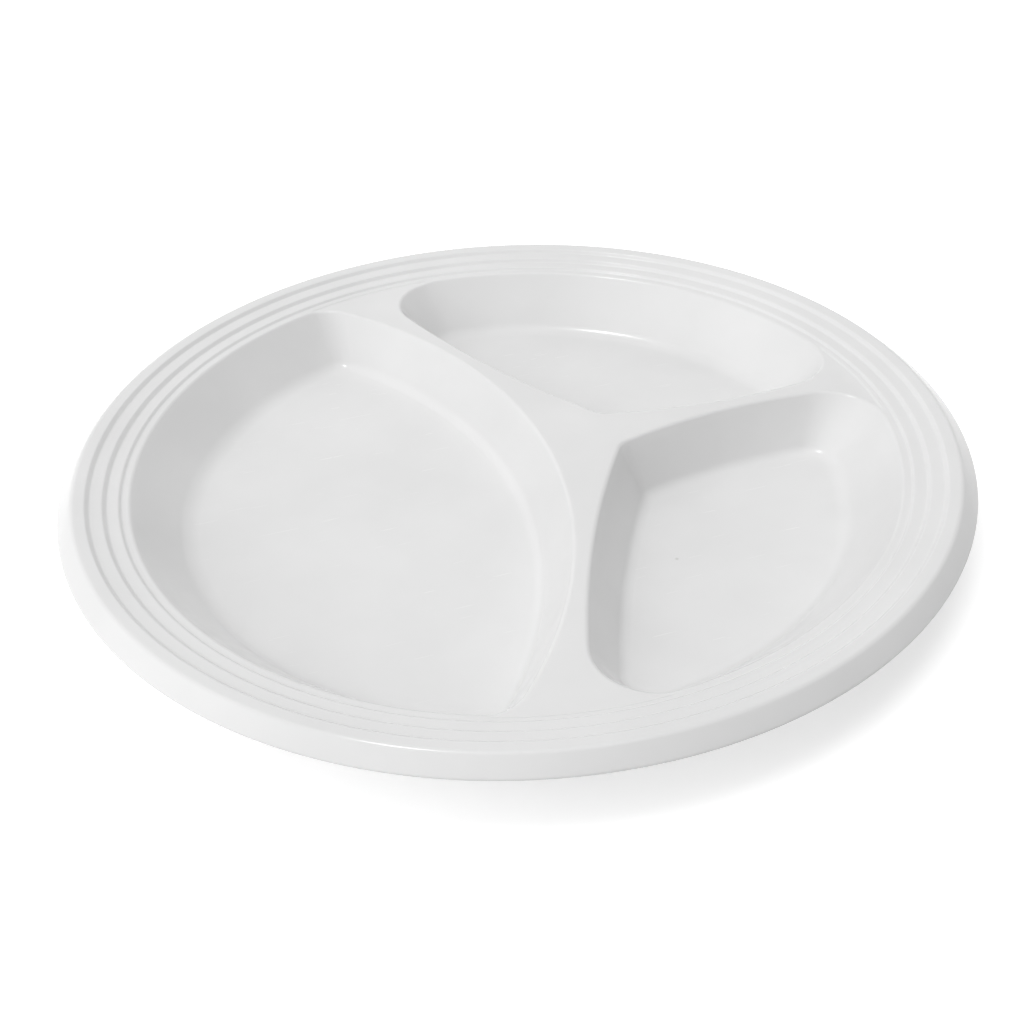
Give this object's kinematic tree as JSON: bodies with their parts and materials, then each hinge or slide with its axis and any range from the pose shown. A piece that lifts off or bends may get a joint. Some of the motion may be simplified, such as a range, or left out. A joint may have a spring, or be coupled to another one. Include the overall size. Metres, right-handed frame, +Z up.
{
  "type": "divided compartment plate",
  "caption": "Round serving plate that keeps foods apart in a large well and smaller ones, with raised webs between them, a stepped rim and a turned-down edge.",
  "frame": {"origin": "centre of the plate, on the plane of the well floors' undersides, where it stands on the table", "axes": "+Z up; +X along the line of symmetry, from the large well to the web between the small wells"},
  "size_m": [0.26, 0.26, 0.021],
  "materials": {
    "moulding": "satin moulded white"
  },
  "bodies": {
    "root": {"turned_edge": "moulding", "stepped_rim": "moulding", "divider_web": "moulding", "large_well": "moulding", "left_small_well": "moulding", "right_small_well": "moulding"}
  },
  "joints": []
}
